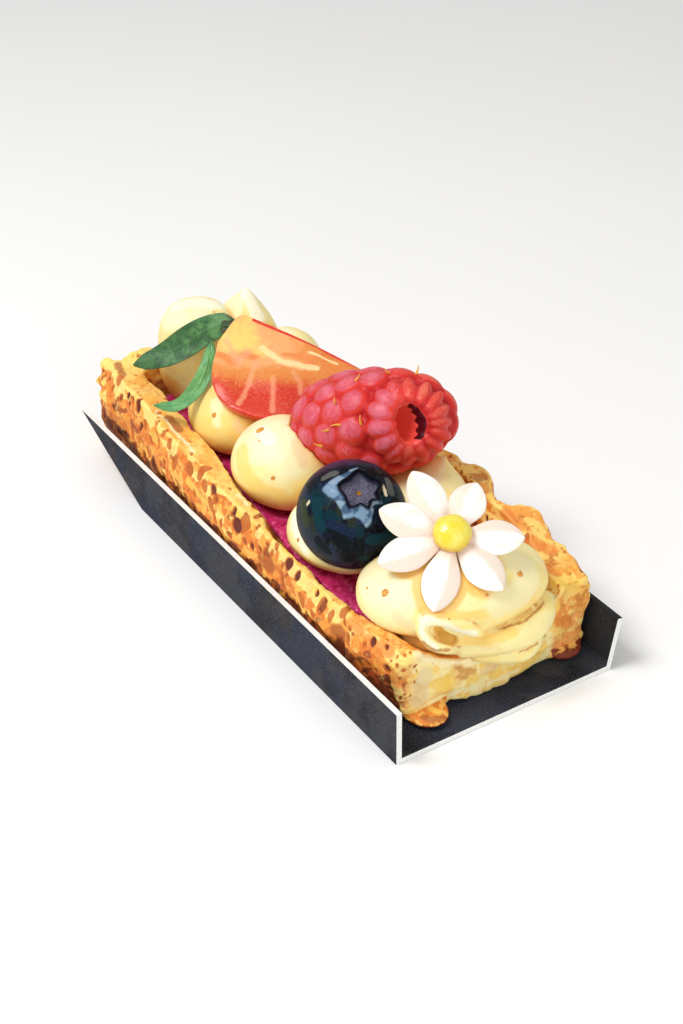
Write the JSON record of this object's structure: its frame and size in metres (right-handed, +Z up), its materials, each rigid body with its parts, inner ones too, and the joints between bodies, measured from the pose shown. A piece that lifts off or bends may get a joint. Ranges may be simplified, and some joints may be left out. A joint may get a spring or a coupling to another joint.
{
  "type": "fruit and cream pastry slice",
  "caption": "Rectangular pastry slice with a raised flaky rim, open at its cut end, filled with jam and piped cream and topped with fruit and a sugar flower, in a folded card tray.",
  "frame": {"origin": "on the underside of the card tray, in the middle of its length and width", "axes": "+X across the slice, to the right seen from its cut end; +Y along the slice, away from the cut end; +Z up"},
  "size_m": [0.0438, 0.1055, 0.0395],
  "materials": {
    "card": "matt black card with white cut edges",
    "pastry": "golden baked pastry, flaky, with browned pores",
    "jam": "glossy raspberry jam",
    "cream": "pale yellow custard cream, satin",
    "strawberry": "moist cut strawberry, orange to red",
    "leaf_dark": "dark green leaf, satin",
    "leaf_light": "light green leaf, satin",
    "raspberry": "red raspberry with pink bloom",
    "blueberry": "dark blue skin with pale bloom",
    "sugar_petal": "white sugar paste",
    "sugar_centre": "glossy lemon yellow sugar"
  },
  "bodies": {
    "root": {"tray": "card", "pastry_crust": "pastry", "jam_layer": "jam", "cream_left_1": "cream", "cream_left_2": "cream", "cream_left_3": "cream", "cream_left_4": "cream", "cream_right_1": "cream", "cream_right_2": "cream", "cream_right_3": "cream", "cream_right_4": "cream", "cream_right_5": "cream", "cream_end_swirl": "cream", "strawberry_half": "strawberry", "leaf_dark": "leaf_dark", "leaf_light": "leaf_light", "raspberry": "raspberry", "blueberry": "blueberry", "flower_petals": "sugar_petal", "flower_centre": "sugar_centre"}
  },
  "joints": []
}
